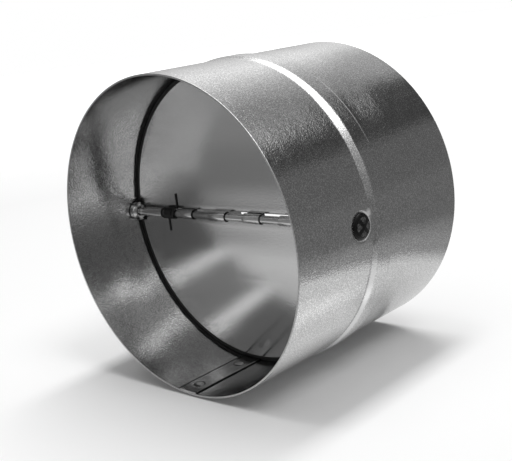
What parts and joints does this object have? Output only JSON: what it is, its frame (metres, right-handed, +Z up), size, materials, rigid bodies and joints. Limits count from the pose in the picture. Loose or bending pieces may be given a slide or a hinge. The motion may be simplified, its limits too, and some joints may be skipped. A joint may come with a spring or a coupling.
{
  "type": "backdraft damper",
  "caption": "Round duct backdraft damper: short steel tube with a pressed bead, butterfly half-disc blades on a cross shaft, closing spring and rubber seal ring.",
  "frame": {"origin": "middle of the pivot shaft, on the axis of the tube", "axes": "+X along the pivot shaft towards the screw that the picture shows, +Y along the tube towards the rear rim, where the air comes in, +Z up, towards the upper blade"},
  "size_m": [0.1264, 0.098, 0.1256],
  "materials": {
    "galvanised_steel": "galvanised, satin with fine spangle",
    "aluminium_sheet": "mill finish, matt",
    "bright_steel": "bright drawn",
    "black_rubber": "matt",
    "black_screw": "black zinc plated",
    "black_wire": "black oiled spring wire"
  },
  "bodies": {
    "frame": {"casing": "galvanised_steel", "seal_ring": "black_rubber", "pivot_shaft": "bright_steel", "right_bush": "bright_steel", "left_bush": "bright_steel", "right_pivot_screw": "black_screw", "left_pivot_screw": "black_screw", "spring_coil": "black_wire"},
    "upper_flap": {"upper_blade": "aluminium_sheet", "spring_upper_leg": "black_wire"},
    "lower_flap": {"lower_blade": "aluminium_sheet", "spring_lower_leg": "black_wire"}
  },
  "joints": [
    {"name": "upper_blade_hinge", "type": "hinge", "parent": "frame", "child": "upper_flap", "pos_m": [0, 0, 0], "axis": [1, 0, 0], "range_deg": [0, 85], "stiffness_Nm_per_rad": 0.002, "springref_deg": -57.3},
    {"name": "lower_blade_hinge", "type": "hinge", "parent": "frame", "child": "lower_flap", "pos_m": [0, 0, 0], "axis": [-1, 0, 0], "range_deg": [0, 85], "stiffness_Nm_per_rad": 0.002, "springref_deg": -57.3}
  ]
}
